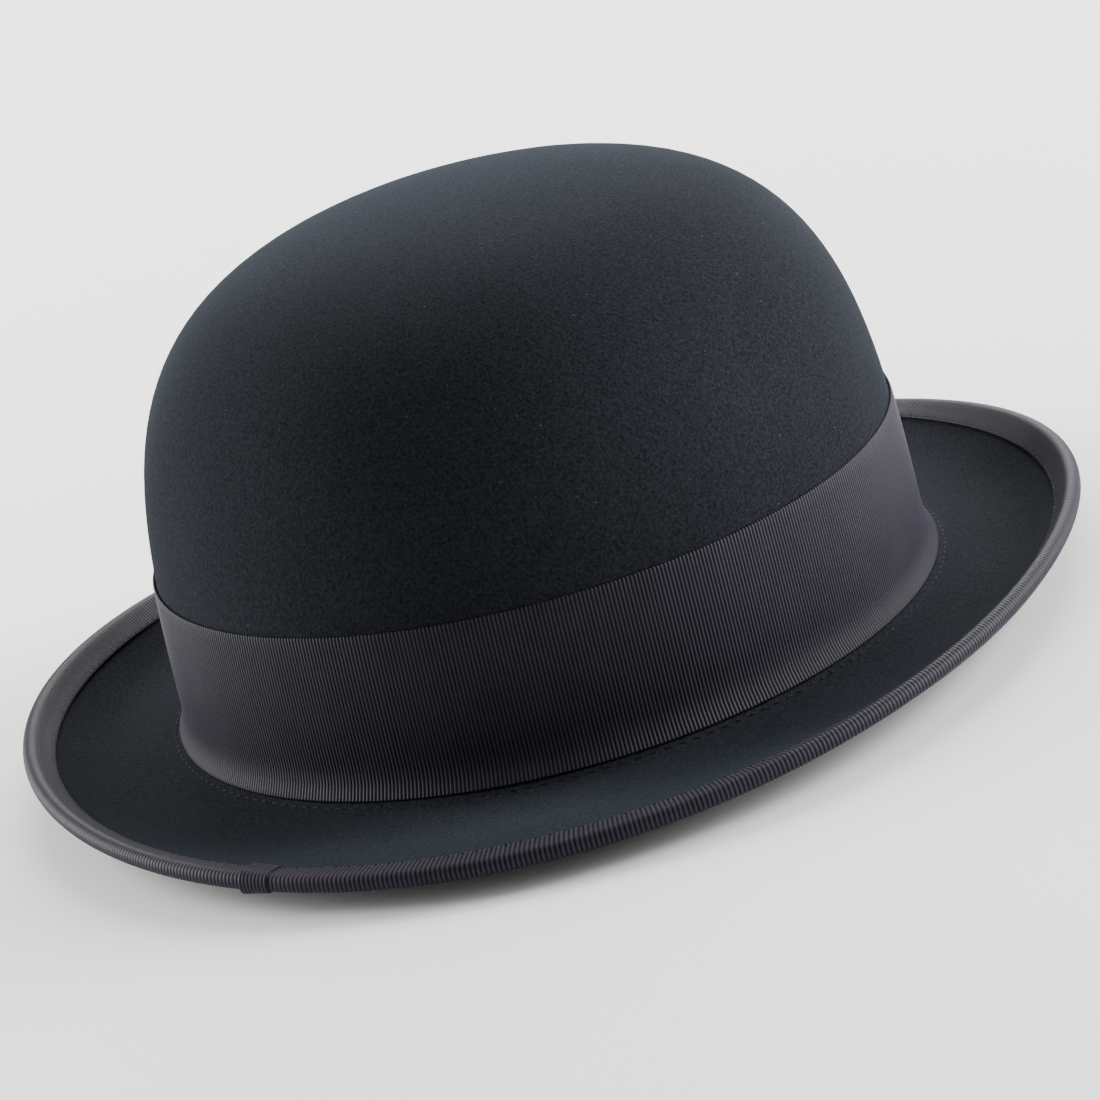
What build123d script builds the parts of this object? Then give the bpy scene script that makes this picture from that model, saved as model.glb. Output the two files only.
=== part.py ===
from build123d import *
import os
from math import cos, sin, pi, radians

# Bowler hat. Millimetres, +Z up, +Y to the wearer's front, +X to the wearer's right.
# The origin is below the middle of the brim's oval, on the surface that the hat rests on.

# ---- felt body -------------------------------------------------------------------------
crown_half_length = 105.0     # outside of the felt at the break, front to back
crown_half_width = 91.2       # outside of the felt at the break, side to side
crown_height = 110.5          # from the break to the top of the crown
crown_lean = 6.0              # how far the top sits forward of the head opening's middle
wall_lean = 0.01              # share of the radius that the wall has lost at wall_reach
wall_reach = 0.60             # how high the straight wall pulls, as a share of the height
top_reach = 1.02              # how far out the flat of the dome pulls, as a share of the radius
felt_thickness = 2.6
break_height = 4.55           # top of the felt at the break, above the resting surface
blend_height = 9.0            # how far up the wall the turn into the brim starts
blend_share = 0.14            # share of the brim's width that the same turn takes

# ---- brim ------------------------------------------------------------------------------
brim_half_length = 158.0      # to the felt's own edge, front and back
brim_half_width = 127.0       # to the felt's own edge, at the curled sides
edge_rise_front = -1.75       # middle of the felt's edge above the break, at the front
edge_rise_back = 1.75
edge_rise_side = 8.5
dish_angle = 3.5              # how steeply the brim leaves the crown, downwards
curl_angle_side = 54.0        # slope of the brim at its edge, at the sides
curl_angle_end = 1.5          # the same at the front and the back
dish_pull = 0.43              # lengths of the section's two tangents, as shares of its width
curl_pull = 0.47

# ---- ribbons ---------------------------------------------------------------------------
ribbon_thickness = 0.6
band_width = 37.5             # hat band, measured up the crown
band_foot = 1.1               # its lower edge above the break
band_join_gap = 0.6           # between the two ends, under the bow
binding_width = 5.8           # each face of the brim binding, from the felt's edge
binding_lap_angle = -115.3    # where the binding's ends overlap, back left
binding_lap_length = 9.0
bow_angle = 161.0             # middle of the bow, on the wearer's left
bow_half_length = 29.0
bow_height = 36.0             # at the ends of its loops
bow_waist = 25.0              # where the knot pinches it
bow_loop_thickness = 2.0      # a loop's two layers and the air between them
knot_half_width = 7.0

# ---- inside ----------------------------------------------------------------------------
lining_thickness = 0.3
lining_foot = 34.0            # lower edge of the lining above the break, behind the leather
lining_seam_height = 84.0     # where the lining's wall meets its tip
piping_radius = 0.9
leather_thickness = 1.2
leather_height = 52.0         # top edge of the sweatband above the break
leather_join_gap = 0.8        # at the back seam
tape_thickness = 0.35
tape_height = 4.4
reed_height = 2.0
reed_thickness = 0.8
reed_drop = 2.4               # bottom of the reed's tape below the break
back_bow_half_length = 13.0
back_bow_height = 7.0
back_bow_thickness = 1.2
back_bow_drop = 3.0           # its upper edge below the leather's

# ---- thread ----------------------------------------------------------------------------
thread_thickness = 0.35
sweat_stitch_out = 2.0        # outside the hat band's lower edge
binding_stitch_in = 0.9       # inside the binding's own edge
seam_stitch_pitch = 4.0       # up the sweatband's back seam
seam_stitch_length = 3.2
seam_stitch_slant = 0.35      # rise of a seam stitch for each millimetre across
tack_length = 1.4             # the stitches that hold the bow's knot
tack_out = 1.2                # beyond the knot's upper and lower ends

# ---- clearances ------------------------------------------------------------------------
lay_gap = 0.15                # between a piece and the one it is laid on
pocket_gap = 0.1              # round the reed in its tape

ring_points = 12
full_turn = 2 * pi
cap_share = 0.985             # the crown's rings stop here and a flat cap closes it
crown_shares = (0.15, 0.27, 0.39, 0.51, 0.63, 0.75, 0.86, 0.94)
brim_places = (0.05, 0.11, 0.17, 0.24, 0.34, 0.46, 0.6, 0.74, 0.88)
turn_places = (1.2, 1.4, 1.6, 1.8)
nose_turns = (0.25, 0.5, 0.75)


# ---- the felt's outer surface ----------------------------------------------------------
def crown_point(angle, share):
    """Outside of the crown; share runs from 0 at the break to 1 at the top."""
    left = 1 - share
    radius = left**3 + 3 * left**2 * share * (1 - wall_lean) + 3 * left * share**2 * top_reach
    rise = 3 * left**2 * share * wall_reach + 3 * left * share**2 + share**3
    return Vector(crown_half_width * radius * cos(angle),
                  crown_half_length * radius * sin(angle) + crown_lean * rise,
                  break_height + crown_height * rise)


def crown_share_at(height):
    """Share at which the crown is this high above the break."""
    low, high = 0.0, 1.0
    for _ in range(40):
        middle = (low + high) / 2
        if crown_point(0, middle).Z - break_height < height:
            low = middle
        else:
            high = middle
    return low


wall_start = crown_share_at(blend_height)


def edge_point(angle):
    """Top of the felt at the brim's edge."""
    ends = (edge_rise_front + edge_rise_back) / 2
    tilt = (edge_rise_front - edge_rise_back) / 2
    rise = edge_rise_side * cos(angle)**2 + ends * sin(angle)**2 + tilt * sin(angle)
    return Vector(brim_half_width * cos(angle), brim_half_length * sin(angle),
                  break_height + rise + felt_thickness / 2)


def brim_point(angle, place):
    """Top of the brim; place runs from 0 at the edge to 1 at the crown."""
    root = crown_point(angle, 0)
    edge = edge_point(angle)
    span = Vector(edge.X - root.X, edge.Y - root.Y, 0)
    out = span.normalized()
    curl = radians(curl_angle_side * cos(angle)**2 + curl_angle_end * sin(angle)**2)
    dish = radians(dish_angle)
    near_root = root + (out * cos(dish) - Vector(0, 0, sin(dish))) * span.length * dish_pull
    near_edge = edge - (out * cos(curl) + Vector(0, 0, sin(curl))) * span.length * curl_pull
    left = 1 - place
    return (edge * left**3 + near_edge * 3 * left**2 * place
            + near_root * 3 * left * place**2 + root * place**3)


def felt_point(angle, place):
    """Top of the felt: place 0 to 1 is the brim, 1 to 2 the turn, 2 to 3 the crown."""
    if place > 2:
        return crown_point(angle, wall_start + (place - 2) * (1 - wall_start))
    if place < 1:
        return brim_point(angle, place * (1 - blend_share))
    turn = place - 1
    return (brim_point(angle, 1 - blend_share) * (1 - turn)**2
            + crown_point(angle, 0) * 2 * turn * (1 - turn)
            + crown_point(angle, wall_start) * turn**2)


def felt_normal(angle, place):
    step = 0.001
    around = felt_point(angle + step, place) - felt_point(angle - step, place)
    inward = felt_point(angle, place + step) - felt_point(angle, place - step)
    return around.cross(inward).normalized()


def over_felt(angle, place, distance):
    """Point this far outside the felt's outer surface, or inside it if negative."""
    return felt_point(angle, place) + felt_normal(angle, place) * distance


def nose_point(angle, turn, extra):
    """Point round the brim's edge; turn runs from 0 on top to 1 underneath."""
    up = felt_normal(angle, 0)
    out = (felt_point(angle, 0) - felt_point(angle, 0.01)).normalized()
    middle = felt_point(angle, 0) - up * (felt_thickness / 2)
    return middle + (up * cos(pi * turn) + out * sin(pi * turn)) * (felt_thickness / 2 + extra)


def place_at_height(angle, height):
    """Place on the turn or the crown that is this high above the break."""
    low, high = 1.3, 3.0
    for _ in range(24):
        middle = (low + high) / 2
        if felt_point(angle, middle).Z - break_height < height:
            low = middle
        else:
            high = middle
    return low


def walk(angle, place, distance):
    """Place reached by going this far up the felt, or outwards if negative."""
    step = 0.01 if distance > 0 else -0.01
    gone = 0.0
    while True:
        leg = (felt_point(angle, place + step) - felt_point(angle, place)).length
        if gone + leg >= abs(distance):
            return place + step * (abs(distance) - gone) / leg
        gone += leg
        place += step


def inner_wall(angle, height, distance):
    """Point on the head side of the crown's wall, this far inside the felt."""
    share = crown_share_at(max(height, 0.0))
    point = crown_point(angle, share)
    out = Vector(cos(angle) / crown_half_width, sin(angle) / crown_half_length, 0).normalized()
    return Vector(point.X, point.Y, break_height + height) - out * (felt_thickness + distance)


# ---- bodies from rings and sections ----------------------------------------------------
def ring(point):
    """Smooth closed wire through the points that a function gives round the oval."""
    points = [point(full_turn * i / ring_points) for i in range(ring_points)]
    return Wire([Edge.make_spline(points, periodic=True)])


def ring_faces(wires):
    return list(Shell.make_loft(wires, ruled=len(wires) == 2).faces())


def chain_faces(sides, closed):
    """Faces of a chain of sides, each a list of point functions, with its two end wires."""
    first = ring(sides[0][0])
    start, faces = first, []
    for number, side in enumerate(sides):
        back_home = closed and number == len(sides) - 1
        end = first if back_home else ring(side[-1])
        faces += ring_faces([start] + [ring(point) for point in side[1:-1]] + [end])
        start = end
    return faces, first, start


def ring_body(*sides):
    """Closed ring; each side starts where the last one ended."""
    return Solid(Shell(chain_faces(sides, True)[0]))


def dome_body(*sides):
    """Closed dome; its sides run from the outer cap down, round the foot and up again."""
    faces, outer_cap, inner_cap = chain_faces(sides, False)
    return Solid(Shell(faces + [Face(outer_cap), Face(inner_cap)]))


def links(chain):
    """A chain of point functions as straight sides between neighbours."""
    return [[chain[i], chain[i + 1]] for i in range(len(chain) - 1)]


def spread(first, last, count):
    return [first + (last - first) * i / (count - 1) for i in range(count)]


def on_felt(place, distance):
    return lambda angle: over_felt(angle, place, distance)


def on_nose(turn, extra):
    return lambda angle: nose_point(angle, turn, extra)


def on_wall(height, distance):
    """Ring that a band follows on the outside of the crown."""
    return lambda angle: over_felt(angle, place_at_height(angle, height), distance)


def in_wall(height, distance):
    return lambda angle: inner_wall(angle, height, distance)


def from_edge(width, distance):
    return lambda angle: over_felt(angle, walk(angle, 0, width), distance)


def cap_ring(distance):
    """Level ring just under the top of the crown, which a flat cap can close."""
    def point(angle):
        edge = crown_point(angle, cap_share)
        return Vector(edge.X, edge.Y, edge.Z + distance)
    return point


def crown_place(share):
    return 2 + (share - wall_start) / (1 - wall_start)


def seam_cut(angle, width, height_low, height_high, reach):
    """Upright slot that parts a ring at an angle, from the axis outwards."""
    direction = Vector(cos(angle), sin(angle), 0)
    face = Plane(origin=(0, 0, height_low), x_dir=direction, z_dir=(0, 0, 1))
    slot = Box(reach, width, height_high - height_low,
               align=(Align.MIN, Align.CENTER, Align.MIN))
    return face * slot


def tack(angle, place, distance):
    """Upright thread bar on the outside of the crown, this far from the felt."""
    up = felt_normal(angle, place)
    along = (felt_point(angle + 0.001, place) - felt_point(angle, place)).normalized()
    centre = felt_point(angle, place) + up * (distance + thread_thickness / 2)
    face = Plane(origin=centre, x_dir=up.cross(along), z_dir=up)
    return face * Box(tack_length, thread_thickness, thread_thickness)


def thread_ring(place_of, distance):
    """One row of sewing thread, all the way round at this distance from the felt."""
    far = distance + thread_thickness

    def at(shift, height):
        return lambda angle: over_felt(angle, walk(angle, place_of(angle), shift), height)
    corners = [at(0, distance), at(0, far), at(thread_thickness, far),
               at(thread_thickness, distance)]
    return ring_body(*[[corners[i], corners[(i + 1) % 4]] for i in range(4)])


def sector(angle, width, reach):
    """Upright block over part of the oval, from the axis outwards at an angle."""
    return seam_cut(angle, width, -crown_height, 2 * crown_height, reach)


# ---- the hat's pieces ------------------------------------------------------------------
def felt_shell():
    """Crown and brim, blocked from one felt hood."""
    def crown(distance):
        places = [crown_place(share) for share in crown_shares]
        return [on_felt(place, distance) for place in (2, *places)] + [cap_ring(distance)]
    places = (*brim_places, 1, *turn_places, 2)
    brim = [on_felt(place, 0) for place in reversed(places)]
    brim += [on_nose(turn, 0) for turn in (0, *nose_turns, 1)]
    brim += [on_felt(place, -felt_thickness) for place in places]
    return dome_body(crown(0)[::-1], *links(brim), crown(-felt_thickness))


def hat_band():
    """Grosgrain ribbon round the crown; its ends meet under the bow."""
    heights = [band_foot, band_foot + 2, band_foot + 4, band_foot + 8, band_foot + band_width]
    band = wall_layer(heights, lay_gap, lay_gap + ribbon_thickness)
    return band - seam_cut(radians(bow_angle), band_join_gap, 0, break_height + crown_height,
                           brim_half_length)


bow_base = lay_gap + ribbon_thickness + lay_gap
bow_level = band_foot + band_width / 2


def bow_block(outline, height):
    """Prism through the bow's place on the band, square to it; outline is in its own plane."""
    turn = radians(bow_angle)
    middle = on_wall(bow_level, 0)(turn)
    out = Vector(cos(turn) / crown_half_width, sin(turn) / crown_half_length, 0)
    face = Plane(origin=middle, x_dir=Vector(0, 0, 1).cross(out), z_dir=out)
    return extrude(face * outline, height, both=True)


def wall_layer(heights, low, high):
    """Ring laid on the outside of the crown between two distances from the felt."""
    rising = [on_wall(height, high) for height in heights]
    falling = [on_wall(height, low) for height in reversed(heights)]
    return ring_body(*links(rising + falling + rising[:1]))


def bow_loops():
    """The two flat loops of the bow, pinched in the middle."""
    half, waist, end = bow_half_length, bow_waist / 2, bow_height / 2
    outline = make_face(Polyline((-half, -end), (0, -waist), (half, -end), (half, end),
                                 (0, waist), (-half, end), close=True))
    layer = wall_layer(spread(bow_level - end - 1, bow_level + end + 1, 5), bow_base,
                       bow_base + bow_loop_thickness)
    return layer & bow_block(outline, crown_half_width / 2)


def knot_half_height():
    """Half of the loops' height where the knot crosses them, at its wider edge."""
    share = knot_half_width / bow_half_length
    return (bow_waist + (bow_height - bow_waist) * share) / 2


def bow_knot():
    """Strip folded round the middle of the bow."""
    half = knot_half_height() + lay_gap
    outside = half + ribbon_thickness
    top = bow_base + bow_loop_thickness + lay_gap
    heights = spread(bow_level - outside, bow_level + outside, 4)
    within = spread(bow_level + half, bow_level - half, 4)
    front = [on_wall(height, top + ribbon_thickness) for height in heights]
    back = [on_wall(height, top) for height in within]
    feet = [on_wall(bow_level + outside, bow_base), on_wall(bow_level + half, bow_base),
            on_wall(bow_level - half, bow_base), on_wall(bow_level - outside, bow_base)]
    wrap = ring_body(*links(front + feet[:2] + back + feet[2:] + front[:1]))
    return wrap & bow_block(Rectangle(2 * knot_half_width, bow_height * 2),
                            crown_half_width / 2)


def bow_tacks():
    """Small stitches that hold the bow's knot to the band, above and below."""
    reach = knot_half_height() + lay_gap + ribbon_thickness + tack_out
    half_turn = knot_half_width * 0.6 / crown_half_length
    bars = []
    for angle in spread(radians(bow_angle) - half_turn, radians(bow_angle) + half_turn, 3):
        for height in (bow_level - reach, bow_level + reach):
            bars.append(tack(angle, place_at_height(angle, height), bow_base))
    return bars


def edge_wrap(low, high):
    """Ring folded over the brim's edge between two distances from the felt."""
    widths = spread(binding_width, binding_width / 4, 4)
    turns = (0, *nose_turns, 1)
    outside = [from_edge(width, high) for width in widths]
    outside += [on_nose(turn, high) for turn in turns]
    outside += [from_edge(width, -felt_thickness - high) for width in reversed(widths)]
    inside = [from_edge(width, -felt_thickness - low) for width in widths]
    inside += [on_nose(turn, low) for turn in reversed(turns)]
    inside += [from_edge(width, low) for width in reversed(widths)]
    return ring_body(*links(outside + inside + outside[:1]))


def brim_binding():
    """Grosgrain ribbon folded over the brim's edge; its ends meet under the lap."""
    binding = edge_wrap(lay_gap, lay_gap + ribbon_thickness)
    return binding - sector(radians(binding_lap_angle), band_join_gap, 2 * brim_half_length)


def binding_lap():
    """The binding's upper end, folded under and laid over its other end."""
    base = lay_gap + ribbon_thickness + lay_gap
    layer = edge_wrap(base, base + ribbon_thickness)
    return layer & sector(radians(binding_lap_angle), binding_lap_length,
                          2 * brim_half_length)


def binding_stitches():
    """Row of thread near the binding's upper edge; underneath it sinks into the ribs."""
    def place_of(angle):
        return walk(angle, 0, binding_width - binding_stitch_in)
    return thread_ring(place_of, lay_gap + ribbon_thickness + lay_gap)


def sweatband_stitches():
    """The row that shows on the brim where the sweatband is sewn in."""
    def place_of(angle):
        return walk(angle, place_at_height(angle, band_foot), -sweat_stitch_out)
    return thread_ring(place_of, lay_gap)


tape_back = lay_gap + lining_thickness + lay_gap


def inside_band(low, high, back, face, rows):
    """Upright ring on the head side of the wall, between two heights."""
    heights = spread(low, high, rows)
    rising = [in_wall(height, back) for height in heights]
    falling = [in_wall(height, face) for height in reversed(heights)]
    return ring_body(rising, [rising[-1], falling[0]], falling, [falling[-1], rising[0]])


reed_back = tape_back + tape_thickness + pocket_gap
reed_foot = tape_thickness + pocket_gap - reed_drop
reed_top = reed_foot + reed_height


def sweatband():
    """Leather strip round the head opening, with its seam at the back."""
    band = inside_band(reed_top + pocket_gap, leather_height, reed_back, reed_back
                       + leather_thickness, 6)
    return band - seam_cut(radians(-90), leather_join_gap, -crown_height, 2 * crown_height,
                           brim_half_length)


def sweatband_reed():
    """Thin flexible reed that keeps the sweatband's lower edge in shape."""
    return inside_band(reed_foot, reed_top, reed_back, reed_back + reed_thickness, 2)


def reed_tape():
    """Tape folded round the reed and up both sides of the leather's lower edge."""
    pocket = leather_thickness + 2 * pocket_gap
    pocket_back = tape_back + tape_thickness
    pocket_face = pocket_back + pocket
    face = pocket_face + tape_thickness
    foot, floor, top = -reed_drop, tape_thickness - reed_drop, tape_height - reed_drop
    corners = [(foot, tape_back), (top, tape_back), (top, pocket_back), (floor, pocket_back),
               (floor, pocket_face), (top, pocket_face), (top, face), (foot, face)]
    rings = [in_wall(*corner) for corner in corners]
    return ring_body(*[[rings[i], rings[(i + 1) % len(rings)]] for i in range(len(rings))])


def sweatband_bow():
    """Small flat ribbon bow over the top of the sweatband's back seam."""
    base = reed_back + leather_thickness + lay_gap
    level = leather_height - back_bow_height / 2 - back_bow_drop
    half, waist, end = back_bow_half_length, back_bow_height / 4, back_bow_height / 2
    outline = make_face(Polyline((-half, -end), (0, -waist), (half, -end), (half, end),
                                 (0, waist), (-half, end), close=True))
    layer = inside_band(level - end - 1, level + end + 1, base, base + back_bow_thickness, 2)
    face = Plane(origin=(0, 0, break_height + level), x_dir=(1, 0, 0), z_dir=(0, -1, 0))
    return layer & extrude(face * outline, 2 * crown_half_length)


def seam_stitches():
    """Cross stitches that close the sweatband's back seam."""
    bars = []
    depth = reed_back + leather_thickness + lay_gap + thread_thickness / 2
    room = leather_height - back_bow_height - 2 * seam_stitch_pitch
    for number in range(int(room / seam_stitch_pitch)):
        height = tape_height + (number + 0.5) * seam_stitch_pitch
        face = Plane(origin=inner_wall(-pi / 2, height, depth),
                     x_dir=(1, 0, seam_stitch_slant), z_dir=(0, 1, 0))
        bars.append(face * Box(seam_stitch_length, thread_thickness, thread_thickness))
    return bars


def lining_place(height):
    return crown_place(crown_share_at(height))


def lining_wall():
    """Satin side of the lining; its lower edge hangs behind the sweatband."""
    low, high = -felt_thickness - lay_gap, -felt_thickness - lay_gap - lining_thickness
    top = lining_seam_height - piping_radius - lay_gap
    places = [lining_place(height) for height in spread(lining_foot, top, 6)]
    rising = [on_felt(place, low) for place in places]
    falling = [on_felt(place, high) for place in reversed(places)]
    return ring_body(rising, [rising[-1], falling[0]], falling, [falling[-1], rising[0]])


def lining_tip():
    """Oval satin piece under the top of the crown."""
    low, high = -felt_thickness - lay_gap, -felt_thickness - lay_gap - lining_thickness
    start = crown_share_at(lining_seam_height + piping_radius + lay_gap)
    places = [crown_place(share) for share in spread(start, cap_share, 6)[:-1]]
    outer = [on_felt(place, low) for place in places] + [cap_ring(low)]
    inner = [on_felt(place, high) for place in places] + [cap_ring(high)]
    return dome_body(outer[::-1], [outer[0], inner[0]], inner)


def lining_piping():
    """Corded seam between the lining's wall and its tip."""
    place = lining_place(lining_seam_height)
    depth = -felt_thickness - lay_gap - piping_radius

    def on_cord(turn):
        def point(angle):
            up = felt_normal(angle, place)
            rise = (felt_point(angle, place + 0.01) - felt_point(angle, place)).normalized()
            centre = over_felt(angle, place, depth)
            return centre + (up * cos(turn) + rise * sin(turn)) * (piping_radius - lay_gap)
        return point
    quarters = [[on_cord(pi * (i + j / 4) / 2) for j in range(5)] for i in range(4)]
    return ring_body(*quarters)


pieces = {
    "felt_shell": felt_shell, "hat_band": hat_band, "bow_loops": bow_loops,
    "bow_knot": bow_knot, "bow_tacks": bow_tacks, "brim_binding": brim_binding,
    "binding_lap": binding_lap, "binding_stitches": binding_stitches,
    "sweatband": sweatband, "sweatband_reed": sweatband_reed, "reed_tape": reed_tape,
    "sweatband_bow": sweatband_bow, "sweatband_stitches": sweatband_stitches,
    "seam_stitches": seam_stitches, "lining_wall": lining_wall, "lining_tip": lining_tip,
    "lining_piping": lining_piping,
}

os.makedirs("parts", exist_ok=True)
for name, make in pieces.items():
    body = make()
    if isinstance(body, list):
        body = Compound(children=body)
    export_step(body, f"parts/{name}.step")
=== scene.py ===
"""Bowler hat: felt body, ribbon band, flat bow, bound brim, sweatband and lining."""

from math import cos, pi, radians, sin

import bmesh
import bpy
import numpy as np
from mathutils import Matrix, Vector


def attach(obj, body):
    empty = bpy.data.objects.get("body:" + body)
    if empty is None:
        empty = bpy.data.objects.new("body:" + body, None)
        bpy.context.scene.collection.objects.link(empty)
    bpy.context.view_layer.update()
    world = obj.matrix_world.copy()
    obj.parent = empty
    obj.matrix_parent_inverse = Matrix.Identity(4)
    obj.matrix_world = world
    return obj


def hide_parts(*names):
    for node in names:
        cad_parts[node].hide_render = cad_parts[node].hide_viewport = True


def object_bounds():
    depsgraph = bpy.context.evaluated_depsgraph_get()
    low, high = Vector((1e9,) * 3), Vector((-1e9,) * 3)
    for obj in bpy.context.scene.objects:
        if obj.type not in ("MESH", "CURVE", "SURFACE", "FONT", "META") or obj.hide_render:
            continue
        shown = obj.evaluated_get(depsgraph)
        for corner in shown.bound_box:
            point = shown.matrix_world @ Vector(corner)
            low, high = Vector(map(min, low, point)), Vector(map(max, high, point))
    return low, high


bl_info = {
    "name": "Bowler hat",
    "version": (1, 0, 0),
    "blender": (4, 5, 0),
    "location": "3D View > Sidebar > Bowler",
    "description": "Builds a felt bowler hat piece by piece round its packed frame",
    "category": "Add Mesh",
}

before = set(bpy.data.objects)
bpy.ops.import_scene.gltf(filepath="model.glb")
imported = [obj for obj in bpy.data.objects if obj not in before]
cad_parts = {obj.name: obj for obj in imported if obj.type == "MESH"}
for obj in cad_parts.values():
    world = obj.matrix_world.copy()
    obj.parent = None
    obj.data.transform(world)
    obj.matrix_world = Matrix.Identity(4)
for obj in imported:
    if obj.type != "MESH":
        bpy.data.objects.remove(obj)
CAD_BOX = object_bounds()

FULL_TURN = 2 * pi
MM = 0.001
WELD = 2e-6                  # doubles closer than this are one vertex
FELT_COLUMNS = 288           # faces round the felt
CROWN_RINGS, TURN_RINGS, BRIM_RINGS, EDGE_RINGS = 42, 13, 27, 9
CROWN_CLOSER = 1.1           # brings the crown's rings closer together at the top
SAMPLES_PER_RIB = 4
RIB_RISE = (0.0, 0.8, 1.0, 0.8)
RIB_LENGTH = 0.95 * MM       # along the UVs of every ribbon; 0.95 mm is one rib
WAVE_STEP = pi / 10          # a wave texture of scale 1 repeats at this distance
THREAD_PITCH = 0.4 * MM      # thread to thread in the ribbon and the satin
MIX_FIRST, MIX_SECOND = 6, 7  # the mix node's two colour inputs


# ---- sizes and colours ----
def length(name, millimetres, description):
    return bpy.props.FloatProperty(
        name=name, description=description, default=millimetres * MM, precision=5,
        subtype="DISTANCE", unit="LENGTH")


def share(name, value, description):
    return bpy.props.FloatProperty(name=name, description=description, default=value,
                                   subtype="FACTOR")


def angle(name, degrees, description):
    return bpy.props.FloatProperty(
        name=name, description=description, default=radians(degrees), subtype="ANGLE",
        unit="ROTATION")


def linear(code):
    """sRGB hex as linear RGB."""
    values = [int(code[i:i + 2], 16) / 255 for i in (1, 3, 5)]
    return [v / 12.92 if v <= 0.04045 else ((v + 0.055) / 1.055) ** 2.4 for v in values]


def colour(name, code, description):
    return bpy.props.FloatVectorProperty(name=name, description=description, size=3,
                                         subtype="COLOR", default=linear(code))


class BowlerBody(bpy.types.PropertyGroup):
    """Sizes of the felt crown and brim."""
    half_length: length("Crown half length", 105, "Outside at the break, front to back")
    half_width: length("Crown half width", 91.2, "Outside at the break, side to side")
    crown_height: length("Crown height", 110.5, "From the break to the top of the crown")
    crown_lean: length("Crown lean", 6, "How far forward its top sits")
    wall_lean: share("Wall lean", 0.01, "Share of the radius that the wall loses")
    wall_reach: share("Wall reach", 0.6, "How high the straight wall pulls the dome")
    top_reach: share("Top reach", 1.02, "How far out the flat top pulls the dome")
    felt: length("Felt thickness", 2.6, "Of the stiffened felt")
    break_height: length("Break height", 4.55, "Top of the felt there, above the rest")
    blend_height: length("Blend height", 9, "Up the wall, where the turn starts")
    blend_share: share("Blend share", 0.14, "Share of the brim that the turn takes")
    brim_half_length: length("Brim half length", 158, "To the felt's edge, front and back")
    brim_half_width: length("Brim half width", 127, "To the felt's edge, at the sides")
    rise_front: length("Front rise", -1.75, "Edge above the break, in front")
    rise_back: length("Back rise", 1.75, "Edge above the break, behind")
    rise_side: length("Side rise", 8.5, "Edge above the break, at the sides")
    dish: angle("Dish", 3.5, "How steeply the brim leaves the crown")
    curl_side: angle("Side curl", 54, "Slope of its edge, at the sides")
    curl_end: angle("End curl", 1.5, "Slope of its edge, front and back")
    dish_pull: share("Dish pull", 0.43, "Length of the section's inner tangent")
    curl_pull: share("Curl pull", 0.47, "Length of the section's outer tangent")
    waviness: length("Waviness", 0.16, "Unevenness from hand blocking")


class BowlerTrim(bpy.types.PropertyGroup):
    """Sizes of the ribbons and the bow."""
    ribbon: length("Ribbon thickness", 0.6, "Of the grosgrain at its ribs")
    rib_depth: length("Rib depth", 0.26, "Depth of the grooves between ribs")
    binding_rib_depth: length("Binding rib depth", 0.13, "Depth of the binding's grooves")
    band_width: length("Band width", 37.5, "Height of the hat band")
    band_foot: length("Band foot", 1.1, "Lower edge above the break")
    band_pitch: length("Band rib pitch", 0.95, "Rib to rib along the band")
    binding_width: length("Binding width", 5.8, "Each face, from the felt's edge")
    binding_pitch: length("Binding rib pitch", 1.1, "Rib to rib along the binding")
    lap_angle: angle("Lap place", -115.3, "Where the binding's ends overlap")
    lap_length: length("Lap length", 9, "Overlap of the binding's ends")
    bow_angle: angle("Bow place", 161, "Middle of the bow, on the wearer's left")
    bow_half_length: length("Bow half length", 28.5, "Knot's middle to a loop's fold")
    bow_height: length("Bow height", 35.5, "Height of the loops' folds")
    bow_waist: length("Bow waist", 25, "Height under the knot")
    bow_puff: length("Bow puff", 1.0, "How far a loop's face stands off")
    knot_half_width: length("Knot half width", 7, "Half of its width")
    lay_gap: length("Lay gap", 0.15, "Under a piece laid on another")


class BowlerInside(bpy.types.PropertyGroup):
    """Sizes of the lining and the sweatband."""
    lining: length("Lining thickness", 0.3, "Thickness of the satin")
    lining_foot: length("Lining foot", 34, "Lower edge above the break")
    seam_height: length("Lining seam", 84, "Where its wall meets its tip")
    piping: length("Piping radius", 0.75, "Radius of the corded seam")
    leather: length("Leather thickness", 1.2, "Thickness of the sweatband")
    leather_height: length("Leather height", 52, "Top edge above the break")
    join_gap: length("Seam gap", 0.8, "Between the leather's ends")
    tape: length("Tape thickness", 0.35, "Thickness of the reed's tape")
    tape_height: length("Tape height", 4.4, "Height of the reed's tape")
    reed_height: length("Reed height", 2, "Height of the reed")
    reed: length("Reed thickness", 0.8, "Thickness of the reed")
    reed_drop: length("Reed drop", 2.4, "Foot of its tape below the break")
    pocket_gap: length("Pocket gap", 0.1, "Round the reed in its tape")
    bow_half_length: length("Back bow half length", 12.5, "Half of the small bow inside")
    bow_height: length("Back bow height", 6.6, "Height of the small bow inside")


class BowlerThread(bpy.types.PropertyGroup):
    """Sizes of the sewing."""
    thickness: length("Thread thickness", 0.35, "Thickness of the thread")
    sweat_length: length("Sweatband stitch", 2.0, "A stitch on the brim")
    sweat_pitch: length("Sweatband stitch pitch", 3.6, "Stitch to stitch on the brim")
    sweat_out: length("Sweatband stitch place", 1.9, "Outside the band's lower edge")
    binding_length: length("Binding stitch", 1.5, "A stitch on the binding")
    binding_pitch: length("Binding stitch pitch", 3.3, "Stitch to stitch on the binding")
    binding_in: length("Binding stitch place", 0.7, "Inside the binding's own edge")


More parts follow.
